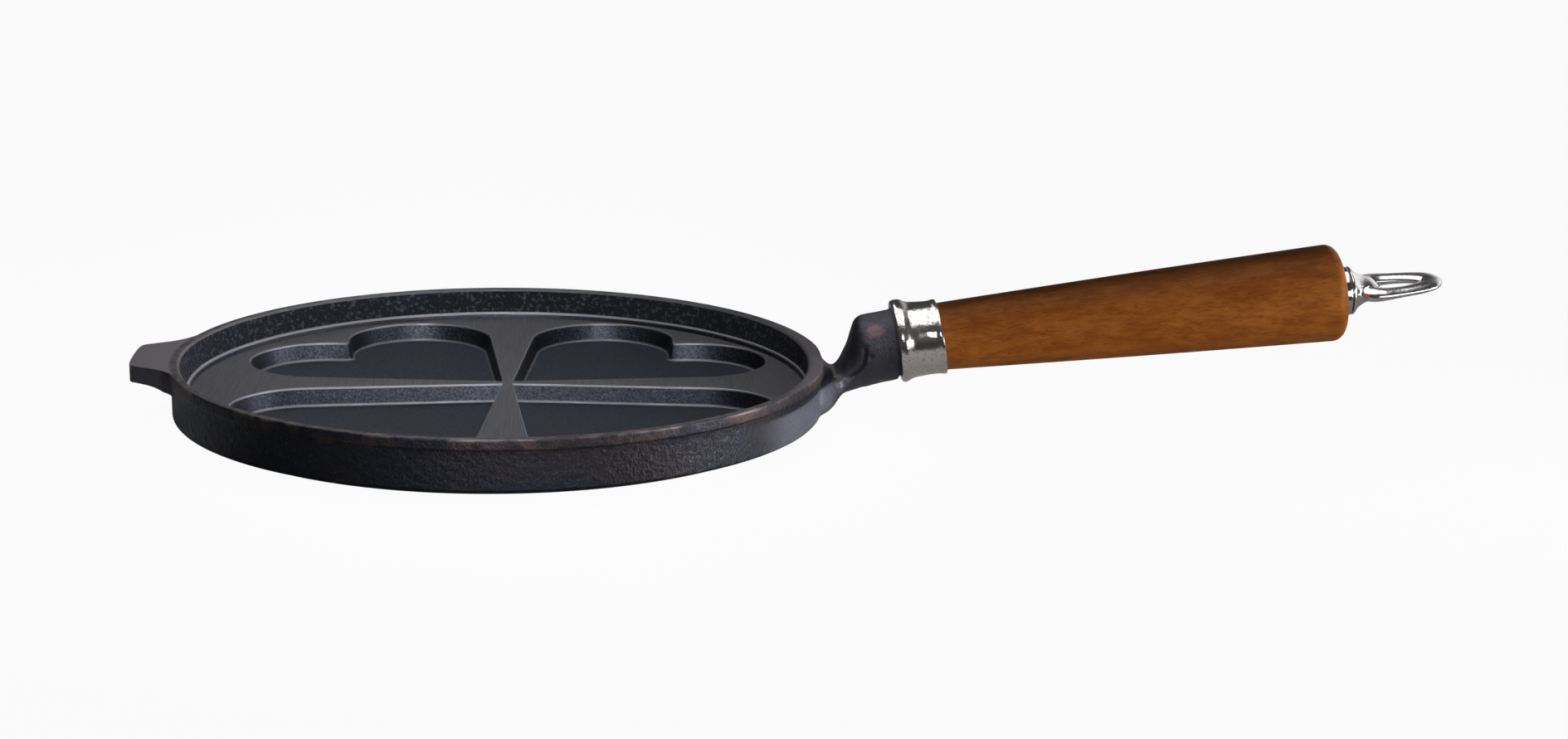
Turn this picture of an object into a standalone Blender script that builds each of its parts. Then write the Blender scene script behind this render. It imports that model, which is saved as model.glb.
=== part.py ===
# Heart pancake pan: a cast-iron pan with four heart-shaped wells, a helper tab, a cast ferrule,
# a turned wooden handle, and the tie rod that holds the handle on with a cast hanging loop.
# Origin: centre of the flat base. +X runs along the handle, +Y to the back, +Z up.

import math

import bmesh
import bpy
from mathutils import Matrix, Vector

mm = 0.001

# General
clearance = 0.3 * mm        # gap between pieces that touch
overrun = 2 * mm            # how far a cutter runs past the face it opens
merge_distance = 0.01 * mm
ring_steps = 96             # facets round the pan
turning_steps = 48          # facets round the handle pieces

# Pan: rim, wall and base
rim_diameter = 230 * mm
pan_height = 20 * mm
rim_edge_round = 0.6 * mm
rim_chamfer = 0.8 * mm
rim_top_width = 2.0 * mm
band_height = 3.6 * mm      # raised band round the outside of the rim
band_proud = 0.5 * mm
wall_draft = 0.1 * mm       # the outer wall leans in by this much towards the base
wall_lift = 2.3 * mm        # the wall's lower edge stands this far above the base
wall_edge_round = 0.9 * mm
base_inset = 7.5 * mm       # from the band's outside to the flat base
base_edge_round = 0.5 * mm

# Pan: inside
inner_wall_draft = 2.2 * mm
ledge_depth = 9.0 * mm      # rim top to ledge
ledge_width = 0.7 * mm
plate_depth = 10.8 * mm     # rim top to the plate that the hearts are sunk in
step_draft = 0.4 * mm
inner_fillet = 0.6 * mm

# Heart wells
well_depth = 6.7 * mm
well_draft = 2.0 * mm
well_lip = 0.4 * mm         # broken edge where a well meets the plate
well_fillet = 1.4 * mm
well_margin = 0.7 * mm      # plate left between the nearest heart and the step
pattern_shift = 2.4 * mm    # the pattern sits this far towards the handle from the pan's centre
pattern_setback = 3.6 * mm  # and this far behind it
tip_setback = 1.5 * mm      # from the pattern's centre to a heart's point, along each rib
lobe_radius_share = 0.262   # of the pattern's reach
lobe_bearing = math.radians(27.0)
lobe_steps = 20
fillet_steps = 3

# Rim pad: the rim is thicker inside where the neck joins it
rim_pad_inset = 5.3 * mm    # from the rim's outside to the thickest place's inner edge
rim_pad_bearing = math.radians(40)
rim_pad_steps = 20
root_cover = 1.8 * mm       # how far tab and pad reach under the rim from its outside
flush_drop = 0.05 * mm      # tab and pad tops lie this far below the rim top

# Helper tab
tab_reach = 13.4 * mm
tab_half_width = 16.2 * mm
tab_thickness = 5.9 * mm
tab_edge_round = 0.8 * mm
tab_gusset = 1.6 * mm       # how much deeper the tab is at the wall
# Outline from the nose to the wall: place along the reach, and half width as a share.
tab_outline_shares = ((1.0, 0.10), (0.992, 0.45), (0.970, 0.75), (0.925, 0.91), (0.855, 1.0),
                      (0.72, 1.07), (0.54, 1.16), (0.24, 1.31), (0.0, 1.48), (-0.15, 1.63),
                      (-0.27, 1.79), (-0.39, 1.98), (-0.475, 2.14))
tab_root_steps = 8

# Handle line
handle_height = 22.15 * mm   # height of the handle's centre line above the base, at the rim
handle_tilt = math.radians(6.6)

# Neck: the cast arm that carries the handle
neck_length = 26.0 * mm     # rim to ferrule, along the handle's centre line
boss_radius = 12.5 * mm
boss_entry = 2.6 * mm       # how far the boss goes into the ferrule
rod_hole_depth = 13.0 * mm
neck_points = 28
# Each row: place along the neck, underside and top as shares of the boss radius from the
# centre line, half width as a share of it, and how square the section is.
neck_section_shares = (
    (-0.192, -1.60, -1.06, 1.52, 3.0),
    (-0.092, -1.66, -0.21, 1.52, 3.0),
    (-0.031, -1.63, -0.29, 1.40, 3.0),
    (0.027, -1.54, -0.50, 1.24, 3.0),
    (0.096, -1.38, -0.58, 1.04, 3.0),
    (0.154, -1.29, -0.52, 0.93, 2.8),
    (0.215, -1.26, -0.38, 0.86, 2.6),
    (0.285, -1.25, -0.12, 0.83, 2.5),
    (0.350, -1.23, 0.14, 0.83, 2.4),
    (0.408, -1.22, 0.46, 0.86, 2.3),
    (0.462, -1.20, 0.71, 0.90, 2.2),
    (0.531, -1.19, 0.83, 0.94, 2.2),
    (0.635, -1.16, 0.88, 0.98, 2.1),
    (0.769, -1.13, 0.90, 0.99, 2.0),
    (0.978, -1.08, 0.95, 1.00, 2.0),
    (0.989, -1.00, 1.00, 1.00, 2.0),
)

# Ferrule
ferrule_length = 16.4 * mm
bead_radius = 14.9 * mm
waist_radius = 13.4 * mm
ferrule_end_wall = 0.6 * mm
ferrule_socket_depth = 5.0 * mm
ferrule_web_bore = 5.0 * mm  # radius of the hole in the web between the two sockets
# Outside of the ferrule: place along its length, and how far from waist to bead.
ferrule_bead_shares = ((0.0, 0.42), (0.03, 0.72), (0.08, 0.96), (0.13, 1.0), (0.18, 0.88),
                       (0.23, 0.58), (0.29, 0.26), (0.38, 0.06), (0.50, 0.0))

# Wooden handle
wood_length = 145.0 * mm    # from the ferrule's lip to the end face
wood_thin_radius = 12.1 * mm
wood_fat_radius = 17.5 * mm
wood_end_round = 4.2 * mm
wood_bulge = 0.25 * mm      # the sides swell this much past a straight taper
wood_bore_clearance = 0.5 * mm
wood_stations = 6

# Tie rod
rod_radius = 3.0 * mm
rod_tip_chamfer = 0.5 * mm

# End washer
washer_radius = 8.8 * mm
washer_thickness = 2.9 * mm
washer_edge_round = 0.4 * mm

# Hanging loop
loop_length = 34.5 * mm
loop_turn = math.radians(12)  # the loop stopped this far round when it was screwed on
flange_radius = 8.7 * mm
flange_thickness = 1.2 * mm
flare_length = 9.4 * mm     # flange to the knob that stands in the eye
flare_waist_radius = 4.7 * mm
# Flare: place along its length, and how far from waist to flange.
flare_shares = ((1.0, -0.62), (0.96, -0.34), (0.88, -0.12), (0.74, 0.0), (0.55, 0.08),
                (0.36, 0.24), (0.20, 0.48), (0.08, 0.76), (0.0, 0.93), (-0.04, 1.0))
rod_grip = 6.0 * mm         # how far the rod goes into the loop
eye_start = 3.4 * mm        # flange to the middle of the eye's bar
eye_half_width = 6.9 * mm   # to the middle of the eye's bar
eye_bar_width = 5.6 * mm
eye_bar_thickness = 3.2 * mm
eye_egg_share = 0.42        # how much wider the eye is towards the handle
eye_steps = 48

# Worked out from the sizes above
rim_radius = rim_diameter / 2
rim_inner_radius = rim_radius - rim_edge_round - rim_top_width
wall_inner_radius = rim_inner_radius - rim_chamfer
ledge_outer_radius = wall_inner_radius - inner_wall_draft
ledge_inner_radius = ledge_outer_radius - ledge_width
plate_radius = ledge_inner_radius - step_draft
ledge_top = pan_height - ledge_depth
plate_top = pan_height - plate_depth
base_radius = rim_radius - base_inset
washer_start = neck_length + ferrule_length + wood_length + clearance
loop_start = washer_start + washer_thickness + clearance


def clear_scene():
    for item in list(bpy.data.objects):
        bpy.data.objects.remove(item, do_unlink=True)


def new_collection(name):
    collection = bpy.data.collections.new(name)
    bpy.context.scene.collection.children.link(collection)
    return collection


def new_object(name, mesh, collection, parent=None):
    item = bpy.data.objects.new(name, mesh)
    collection.objects.link(item)
    item.parent = parent
    return item


def new_cutter(name, mesh, parent=None):
    item = new_object(name, mesh, cutters, parent)
    item.hide_render = True
    item.display_type = "WIRE"
    return item


def paint(item, name, colour, roughness, metallic):
    material = bpy.data.materials.new(name)
    material.use_nodes = True
    shader = material.node_tree.nodes["Principled BSDF"]
    shader.inputs["Base Color"].default_value = (*colour, 1)
    shader.inputs["Roughness"].default_value = roughness
    shader.inputs["Metallic"].default_value = metallic
    item.data.materials.append(material)


def arc(centre_x, centre_z, radius, start, end, steps):
    """Points on an arc, angles in degrees from +X towards +Z, both ends included."""
    angles = [math.radians(start + (end - start) * i / steps) for i in range(steps + 1)]
    return [(centre_x + radius * math.cos(a), centre_z + radius * math.sin(a)) for a in angles]


def profile_mesh(name, outline, closed):
    """An outline of (radius, height) points as edges in the XZ plane."""
    mesh = bpy.data.meshes.new(name)
    edges = [(i, i + 1) for i in range(len(outline) - 1)]
    if closed:
        edges.append((len(outline) - 1, 0))
    mesh.from_pydata([(x, 0, z) for x, z in outline], edges, [])
    return mesh


def screw(item, steps):
    modifier = item.modifiers.new("turn", "SCREW")
    modifier.axis = "Z"
    modifier.steps = steps
    modifier.render_steps = steps
    modifier.use_merge_vertices = True
    modifier.merge_threshold = merge_distance
    modifier.use_smooth_shade = True


def join(item, other, operation):
    modifier = item.modifiers.new(other.name, "BOOLEAN")
    modifier.operation = operation
    modifier.solver = "EXACT"
    modifier.object = other


def finish_mesh(name, work):
    mesh = bpy.data.meshes.new(name)
    bmesh.ops.recalc_face_normals(work, faces=work.faces[:])
    work.to_mesh(mesh)
    work.free()
    return mesh


def smooth(mesh):
    mesh.shade_smooth()
    mesh.set_sharp_from_angle(angle=math.radians(35))


def loft(name, sections):
    """Closed body through rings of points that all hold the same number."""
    work = bmesh.new()
    rings = [[work.verts.new(point) for point in section] for section in sections]
    for near, far in zip(rings, rings[1:]):
        for i in range(len(near)):
            j = (i + 1) % len(near)
            work.faces.new((near[i], near[j], far[j], far[i]))
    work.faces.new(rings[0])
    work.faces.new(rings[-1])
    return finish_mesh(name, work)


clear_scene()
parts = new_collection("heart_pancake_pan")
cutters = new_collection("cutters")

# The handle's centre line: an empty at the rim whose own Z runs along the handle.
handle_line = bpy.data.objects.new("handle_line", None)
parts.objects.link(handle_line)
handle_line.location = (rim_radius, 0, handle_height)
handle_line.rotation_euler = (0, math.pi / 2 - handle_tilt, 0)


def pan_outline():
    """Half section of the pan, from the middle of the plate out, down and back to the axis."""
    wall_radius = rim_radius - band_proud
    band_bottom = pan_height - band_height
    foot_radius = wall_radius - wall_draft
    points = [(0, plate_top), (plate_radius, plate_top), (ledge_inner_radius, ledge_top)]
    points += [(ledge_outer_radius - inner_fillet, ledge_top)]
    points += [(ledge_outer_radius, ledge_top + inner_fillet)]
    points += [(wall_inner_radius, pan_height - rim_chamfer), (rim_inner_radius, pan_height)]
    points += arc(rim_radius - rim_edge_round, pan_height - rim_edge_round, rim_edge_round, 90, 0, 2)
    points += [(rim_radius, band_bottom), (wall_radius, band_bottom - band_proud)]
    points += arc(foot_radius - wall_edge_round, wall_lift + wall_edge_round,
                  wall_edge_round, 0, -72, 3)
    points += [(base_radius + base_edge_round, base_edge_round / 2), (base_radius, 0), (0, 0)]
    return points


def heart_outline():
    """One heart in the +X +Y quarter, symmetric about the diagonal, its point at the centre."""
    offset = Vector((pattern_shift, pattern_setback))
    outward = offset.dot(Vector((math.sin(lobe_bearing), math.cos(lobe_bearing))))
    room = plate_radius - well_margin
    reach = math.sqrt(room ** 2 + outward ** 2 - offset.length_squared) - outward
    radius = reach * lobe_radius_share
    middle = reach - radius
    centre = Vector((middle * math.cos(lobe_bearing), middle * math.sin(lobe_bearing)))
    tip = Vector((tip_setback, tip_setback))
    to_tip = tip - centre
    tangent = math.atan2(to_tip.y, to_tip.x) + math.acos(radius / to_tip.length)
    from_diagonal = (centre.x - centre.y) / math.sqrt(2)
    notch = math.pi * 3 / 4 - math.acos(from_diagonal / radius)
    angles = [tangent + (notch - tangent) * i / lobe_steps for i in range(lobe_steps + 1)]
    lobe = [centre + radius * Vector((math.cos(a), math.sin(a))) for a in angles]
    mirrored = [Vector((p.y, p.x)) for p in reversed(lobe[:-1])]
    return [tip] + lobe + mirrored


def heart_wells():
    """The four drafted wells as one cutter, each turned a quarter about the pattern's centre."""
    work = bmesh.new()
    outline = heart_outline()
    centre = Vector((pattern_shift, pattern_setback, plate_top))
    wall_drop = well_depth - well_lip - well_fillet
    for quarter in range(4):
        turn = Matrix.Rotation(quarter * math.pi / 2, 3, "Z")
        face = work.faces.new([work.verts.new(centre + turn @ p.to_3d()) for p in outline])
        top = bmesh.ops.extrude_face_region(work, geom=[face])
        lifted = [v for v in top["geom"] if isinstance(v, bmesh.types.BMVert)]
        bmesh.ops.translate(work, verts=lifted, vec=(0, 0, overrun))
        steps = [(well_lip, well_lip), (well_draft - well_lip, wall_drop)]
        for i in range(fillet_steps):
            a, b = (math.pi / 2 * k / fillet_steps for k in (i, i + 1))
            steps.append((well_fillet * (math.cos(a) - math.cos(b)),
                          well_fillet * (math.sin(b) - math.sin(a))))
        for inward, down in steps:
            bmesh.ops.inset_individual(work, faces=[face], thickness=inward, depth=down,
                                       use_even_offset=False)
    return finish_mesh("heart_wells", work)


def rim_arc(radius, bearing, steps):
    """Plan points on a circle about the pan's centre, from +bearing to -bearing about +X."""
    angles = [bearing - 2 * bearing * i / steps for i in range(steps + 1)]
    return [(radius * math.cos(a), radius * math.sin(a)) for a in angles]


def tab_body():
    """The helper tab: its plan outline given depth, deeper at the wall, with broken edges."""
    rim = -rim_radius
    half = [(rim - along * tab_reach, wide * tab_half_width) for along, wide in tab_outline_shares]
    bearing = math.atan2(half[-1][1], -half[-1][0])
    cover = rim_arc(rim_radius - root_cover, bearing, tab_root_steps)
    inner = [(-x, -y) for x, y in cover]
    plan = inner + half[::-1] + [(x, -y) for x, y in half]
    work = bmesh.new()
    top = pan_height - flush_drop
    face = work.faces.new([work.verts.new((x, y, top)) for x, y in plan])
    below = bmesh.ops.extrude_face_region(work, geom=[face])
    for vert in [v for v in below["geom"] if isinstance(v, bmesh.types.BMVert)]:
        share = min(1, max(0, 1 - (rim - vert.co.x) / tab_reach))
        vert.co.z -= tab_thickness + tab_gusset * share ** 3
    work.normal_update()
    outside = [e for e in work.edges if all(v.co.x < rim + tab_reach / 2 for v in e.verts)]
    broken = [e for e in outside if e.calc_face_angle(0) > math.radians(60)
              and min(v.co.xy.length for v in e.verts) > rim_radius - root_cover / 2]
    bmesh.ops.bevel(work, geom=broken, offset=tab_edge_round, segments=2, profile=0.5,
                    affect="EDGES", material=-1, clamp_overlap=True)
    return finish_mesh("tab", work)


def rim_pad_body():
    """The thicker part of the rim at the neck, lofted round the rim and fading at both ends."""
    outer = rim_radius - root_cover
    inner = rim_radius - rim_pad_inset
    low = ledge_top - inner_fillet
    high = pan_height - flush_drop
    sections = []
    for i in range(rim_pad_steps + 1):
        bearing = rim_pad_bearing * (1 - 2 * i / rim_pad_steps)
        swell = (1 + math.cos(math.pi * bearing / rim_pad_bearing)) / 2
        edge = rim_inner_radius + (inner - rim_inner_radius) * swell
        section = [(outer, low), (outer, high), (edge + rim_edge_round, high),
                   (edge, high - rim_edge_round), (inner, low)]
        turn = Matrix.Rotation(bearing, 3, "Z")
        sections.append([turn @ Vector((r, 0, z)) for r, z in section])
    return loft("rim_pad", sections)


def neck_body():
    """The neck, lofted along the handle's centre line in the handle's own axes."""
    sections = []
    for along, low, high, half_width, square in neck_section_shares:
        sections.append(neck_ring(along * neck_length, low, high, half_width, square))
    sections.append(neck_ring(neck_length + boss_entry, -1, 1, 1, 2))
    return loft("neck", sections)


def neck_ring(along, low, high, half_width, square):
    ring = []
    for i in range(neck_points):
        angle = 2 * math.pi * i / neck_points
        c, s = math.cos(angle), math.sin(angle)
        up = math.copysign(abs(c) ** (2 / square), c)
        side = math.copysign(abs(s) ** (2 / square), s)
        height = (high + low) / 2 + up * (high - low) / 2
        ring.append((-height * boss_radius, side * half_width * boss_radius, along))
    return ring


def rod_cutter(name, start, length, radius):
    work = bmesh.new()
    bmesh.ops.create_cone(work, cap_ends=True, segments=turning_steps // 2,
                          radius1=radius, radius2=radius, depth=length)
    bmesh.ops.translate(work, verts=work.verts[:], vec=(0, 0, start + length / 2))
    return new_cutter(name, finish_mesh(name, work), handle_line)


# Pan casting: the turned pan with its tab and neck joined on and its wells sunk in.
pan = new_object("pan_casting", profile_mesh("pan_casting", pan_outline(), False), parts)
screw(pan, ring_steps)
paint(pan, "cast_iron", (0.035, 0.035, 0.042), 0.55, 0.6)
neck = new_cutter("neck", neck_body(), handle_line)
smooth(neck.data)
tab = new_cutter("tab", tab_body())
rim_pad = new_cutter("rim_pad", rim_pad_body())
wells = new_cutter("heart_wells", heart_wells())
boss_face = neck_length + boss_entry
neck_hole = rod_cutter("neck_hole", boss_face - rod_hole_depth, rod_hole_depth + overrun,
                       rod_radius + clearance)
join(pan, neck, "UNION")
join(pan, tab, "UNION")
join(pan, rim_pad, "UNION")
join(pan, wells, "DIFFERENCE")
join(pan, neck_hole, "DIFFERENCE")


def ferrule_outline():
    """Half section of the ferrule: beaded mouth, waist, thin lip, and a socket at each end."""
    start, end = neck_length, neck_length + ferrule_length
    boss_socket = boss_radius + clearance
    wood_socket = wood_thin_radius + clearance
    lip_radius = wood_socket + ferrule_end_wall
    outside = [(waist_radius + share * (bead_radius - waist_radius), start + along * ferrule_length)
               for along, share in ferrule_bead_shares]
    outside.append((lip_radius, end))
    inside = [(boss_socket, start), (boss_socket, start + boss_entry + clearance)]
    inside += [(ferrule_web_bore, start + boss_entry + clearance)]
    inside += [(ferrule_web_bore, end - ferrule_socket_depth)]
    inside += [(wood_socket, end - ferrule_socket_depth), (wood_socket, end)]
    return outside[::-1] + inside


ferrule = new_object("ferrule", profile_mesh("ferrule", ferrule_outline(), True), parts, handle_line)
screw(ferrule, turning_steps)
paint(ferrule, "pewter_cast", (0.62, 0.60, 0.57), 0.32, 1.0)


def wood_outline():
    """Half section of the handle: a slim swelling taper with a rounded end and a bore."""
    lip = neck_length + ferrule_length
    start = lip - ferrule_socket_depth + clearance
    end = lip + wood_length
    bore = rod_radius + wood_bore_clearance
    taper_end = end - wood_end_round
    points = arc(wood_fat_radius - wood_end_round, taper_end, wood_end_round, 90, 0, 5)
    for i in range(1, wood_stations):
        share = 1 - i / wood_stations
        radius = wood_thin_radius + (wood_fat_radius - wood_thin_radius) * share
        swell = wood_bulge * math.sin(math.pi * share)
        points.append((radius + swell, lip + (taper_end - lip) * share))
    points += [(wood_thin_radius, lip), (wood_thin_radius, start), (bore, start), (bore, end)]
    return points


wood = new_object("wood_handle", profile_mesh("wood_handle", wood_outline(), True), parts, handle_line)
screw(wood, turning_steps)
paint(wood, "walnut", (0.30, 0.13, 0.045), 0.38, 0.0)

rod_start = boss_face - rod_hole_depth + clearance
rod_end = loop_start + rod_grip - clearance
rod_outline = [(0, rod_end), (rod_radius - rod_tip_chamfer, rod_end),
               (rod_radius, rod_end - rod_tip_chamfer), (rod_radius, rod_start + rod_tip_chamfer),
               (rod_radius - rod_tip_chamfer, rod_start), (0, rod_start)]
rod = new_object("tie_rod", profile_mesh("tie_rod", rod_outline, False), parts, handle_line)
screw(rod, turning_steps // 2)
paint(rod, "steel_rod", (0.45, 0.45, 0.46), 0.35, 1.0)


def washer_outline():
    edge = washer_edge_round
    start, end = washer_start, washer_start + washer_thickness
    bore = rod_radius + clearance
    return [(washer_radius - edge, end), (washer_radius, end - edge),
            (washer_radius, start + edge), (washer_radius - edge, start),
            (bore, start), (bore, end)]


washer = new_object("end_washer", profile_mesh("end_washer", washer_outline(), True), parts, handle_line)
screw(washer, turning_steps)
paint(washer, "polished_steel", (0.72, 0.72, 0.73), 0.15, 1.0)


def flare_outline():
    """Half section of the loop's foot: a flange that sweeps in to a knob."""
    flare_start = loop_start + flange_thickness
    points = [(flare_waist_radius + share * (flange_radius - flare_waist_radius),
               flare_start + along * flare_length) for along, share in flare_shares]
    return [(0, flare_start + flare_length)] + points + [(flange_radius, loop_start),
                                                         (0, loop_start)]


def eye_curve():
    """The eye: an egg-shaped ring of round bar in the plane of Y and the handle's line."""
    near = flange_thickness + eye_start
    half_length = (loop_length - eye_bar_width / 2 - near) / 2
    curve = bpy.data.curves.new("eye", "CURVE")
    curve.dimensions = "3D"
    curve.bevel_depth = eye_bar_width / 2
    curve.bevel_resolution = 3
    spline = curve.splines.new("POLY")
    spline.points.add(eye_steps - 1)
    spline.use_cyclic_u = True
    for i, point in enumerate(spline.points):
        angle = 2 * math.pi * i / eye_steps
        width = eye_half_width * (1 - eye_egg_share * math.cos(angle))
        point.co = (0, width * math.sin(angle), near + half_length * (1 + math.cos(angle)), 1)
    return curve


def eye_mesh():
    """The eye's bar made flat, turned about the handle's line, and set on the loop's foot."""
    source = new_object("eye_source", eye_curve(), cutters)
    evaluated = source.evaluated_get(bpy.context.evaluated_depsgraph_get())
    mesh = bpy.data.meshes.new_from_object(evaluated)
    bpy.data.objects.remove(source, do_unlink=True)
    work = bmesh.new()
    work.from_mesh(mesh)
    bpy.data.meshes.remove(mesh)
    bmesh.ops.remove_doubles(work, verts=work.verts[:], dist=merge_distance)
    flatten = Matrix.Diagonal((eye_bar_thickness / eye_bar_width, 1, 1, 1))
    turn = Matrix.Rotation(loop_turn, 4, "Z")
    place = Matrix.Translation((0, 0, loop_start))
    work.transform(place @ turn @ flatten)
    return finish_mesh("eye", work)


loop = new_object("hanging_loop", profile_mesh("hanging_loop", flare_outline(), False), parts, handle_line)
screw(loop, turning_steps)
paint(loop, "polished_zinc", (0.78, 0.78, 0.79), 0.12, 1.0)
eye = new_cutter("eye", eye_mesh(), handle_line)
loop_hole = rod_cutter("loop_hole", loop_start - overrun, rod_grip + overrun, rod_radius + clearance)
join(loop, eye, "UNION")
join(loop, loop_hole, "DIFFERENCE")
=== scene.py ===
import math

import bmesh
import bpy
from mathutils import Matrix, Vector, noise


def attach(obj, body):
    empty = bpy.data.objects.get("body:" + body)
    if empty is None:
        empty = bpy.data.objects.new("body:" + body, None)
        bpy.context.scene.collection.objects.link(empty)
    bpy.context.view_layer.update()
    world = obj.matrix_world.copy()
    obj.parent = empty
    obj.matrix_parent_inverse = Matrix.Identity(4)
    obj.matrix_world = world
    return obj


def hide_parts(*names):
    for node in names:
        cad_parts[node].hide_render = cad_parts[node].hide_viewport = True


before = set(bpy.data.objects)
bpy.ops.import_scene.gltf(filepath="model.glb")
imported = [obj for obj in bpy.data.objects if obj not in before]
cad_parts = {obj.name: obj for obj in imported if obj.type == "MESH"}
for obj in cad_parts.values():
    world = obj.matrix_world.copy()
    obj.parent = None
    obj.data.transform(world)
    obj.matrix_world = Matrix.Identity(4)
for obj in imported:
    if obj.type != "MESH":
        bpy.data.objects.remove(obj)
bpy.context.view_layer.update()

mm = 0.001
scene = bpy.context.scene
scene.view_settings.view_transform = "Standard"


# Camera: a product shot from about a metre away, a little above the rim and a
# little to the left, with a lens of about 64 mm. The angles, place and lens were
# fitted to the photograph.
camera_place = (26.6 * mm, -972.65 * mm, 252.3 * mm)
camera_azimuth = math.radians(-4.37569)
camera_elevation = math.radians(13.68768)
camera_roll = math.radians(1.04565)
camera_film_width = 36
camera_lens = 64.386
camera_nearest = 0.01

camera = bpy.data.objects.new("camera", bpy.data.cameras.new("camera"))
scene.collection.objects.link(camera)
scene.camera = camera
camera.data.sensor_width = camera_film_width
camera.data.lens = camera_lens
camera.data.clip_start = camera_nearest
camera.matrix_world = (
    Matrix.Translation(camera_place)
    @ Matrix.Rotation(camera_azimuth, 4, "Z")
    @ Matrix.Rotation(math.pi / 2 - camera_elevation, 4, "X")
    @ Matrix.Rotation(camera_roll, 4, "Z")
)


# Studio: pale paper under the object, a white backdrop in a darker room, and one large
# soft box overhead. Small boxes with grids reach the wells, the far rim and the right
# wall, and low ones the handle. Metal mirrors some boxes that give no plain light.
floor_half_width = 6.0
floor_whiteness = 0.95
floor_mirrored = 0.02
paper_colour = 0.86
# How pale metal sees the paper: dark up to the first Y value, pale from the second.
paper_in_mirrors = (0.06, 0.80)
paper_changes = (-0.085, -0.055)
ambient = 0.05
backdrop_side = Vector((0.85, 0.52, 0.05)).normalized()
backdrop_edge = (0.58, 0.92)
room_dark = 0.05
# name, aim, direction round and up in degrees, distance, width, height, power, grid
# angle, and which of plain and mirrored light it gives
softboxes = (
    ("overhead", (0.06, 0.0, 0.02), 0, 86, 0.60, 0.85, 0.42, 0.32, 180, True, False),
    ("overhead_seen", (0.06, 0.0, 0.02), 0, 84, 0.56, 0.80, 0.62, 2.45, 180, False, True),
    ("pan_front", (0.0, 0.02, 0.01), 5, 21, 1.10, 0.12, 0.08, 0.095, 16, True, True),
    ("pan_back", (-0.05, 0.0, 0.02), 190, 58, 0.60, 0.25, 0.30, 0.10, 46, True, True),
    ("pan_side", (0.09, -0.05, 0.01), 74, 8, 0.80, 0.15, 0.12, 0.27, 34, True, True),
    ("handle_key", (0.21, 0.0, 0.035), 46, 1, 0.90, 0.20, 0.03, 0.26, 60, True, False),
    ("handle_seen", (0.15, 0.0, 0.035), 56, 2, 0.30, 0.26, 0.09, 0.17, 180, False, True),
    ("handle_low", (0.23, 0.0, 0.035), 8, -3, 0.45, 0.34, 0.03, 0.17, 90, True, False),
)


def place_node(tree, kind, inputs=None, **options):
    """Adds a shader node, sets its options, and fills or links its inputs."""
    node = tree.nodes.new("ShaderNode" + kind)
    for option, value in options.items():
        setattr(node, option, value)
    for socket, value in (inputs or {}).items():
        if isinstance(value, bpy.types.NodeSocket):
            tree.links.new(value, node.inputs[socket])
        else:
            node.inputs[socket].default_value = value
    return node


def joined(tree, operation, *values):
    """Joins values by one operation, from the first to the last."""
    made = values[0]
    for value in values[1:]:
        made = place_node(tree, "Math", {0: made, 1: value}, operation=operation).outputs[0]
    return made


def product(tree, *values):
    return joined(tree, "MULTIPLY", *values)


def largest(tree, *values):
    return joined(tree, "MAXIMUM", *values)


def seen_directly(tree):
    """1 for camera, mirror and see-through rays, which should all meet the white backdrop."""
    path = place_node(tree, "LightPath")
    return largest(tree, *(path.outputs["Is %s Ray" % kind]
                           for kind in ("Camera", "Glossy", "Transmission")))


world = bpy.data.worlds.new("white_studio")
scene.world = world
world.use_nodes = True
sky = world.node_tree
sky.nodes.clear()
facing = place_node(sky, "VectorMath", {
    0: place_node(sky, "TexCoord").outputs["Generated"], 1: backdrop_side},
    operation="DOT_PRODUCT").outputs["Value"]
paper_wall = place_node(sky, "MapRange", {
    "Value": facing, "From Min": backdrop_edge[0], "From Max": backdrop_edge[1],
    "To Min": room_dark}, interpolation_type="SMOOTHSTEP").outputs["Result"]
in_camera = place_node(sky, "LightPath").outputs["Is Camera Ray"]
lit = place_node(sky, "Background", {"Color": (1, 1, 1, 1), "Strength": ambient})
white = place_node(sky, "Background", {
    "Color": (1, 1, 1, 1), "Strength": largest(sky, paper_wall, in_camera)})
backdrop = place_node(sky, "MixShader", {
    0: seen_directly(sky), 1: lit.outputs[0], 2: white.outputs[0]})
place_node(sky, "OutputWorld", {"Surface": backdrop.outputs[0]})

paper = bpy.data.materials.new("floor_paper")
paper.use_nodes = True
sheet = paper.node_tree
sheet.nodes.clear()
glow_share = place_node(sheet, "Mix", {
    0: place_node(sheet, "LightPath").outputs["Is Camera Ray"],
    2: product(sheet, seen_directly(sheet), floor_mirrored), 3: floor_whiteness}).outputs[0]
ahead = place_node(sheet, "SeparateXYZ", {
    0: place_node(sheet, "TexCoord").outputs["Object"]}).outputs["Y"]
mirrored_colour = place_node(sheet, "MapRange", {
    "Value": ahead, "From Min": paper_changes[0], "From Max": paper_changes[1],
    "To Min": paper_in_mirrors[0], "To Max": paper_in_mirrors[1]}).outputs["Result"]
seen_colour = place_node(sheet, "MapRange", {
    "Value": place_node(sheet, "LightPath").outputs["Is Glossy Ray"],
    "To Min": paper_colour, "To Max": mirrored_colour}).outputs["Result"]
matt = place_node(sheet, "BsdfDiffuse", {"Color": seen_colour})
glow = place_node(sheet, "Emission", {"Color": (1, 1, 1, 1), "Strength": 1.0})
mixed = place_node(sheet, "MixShader", {0: glow_share, 1: matt.outputs[0], 2: glow.outputs[0]})
place_node(sheet, "OutputMaterial", {"Surface": mixed.outputs[0]})

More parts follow.
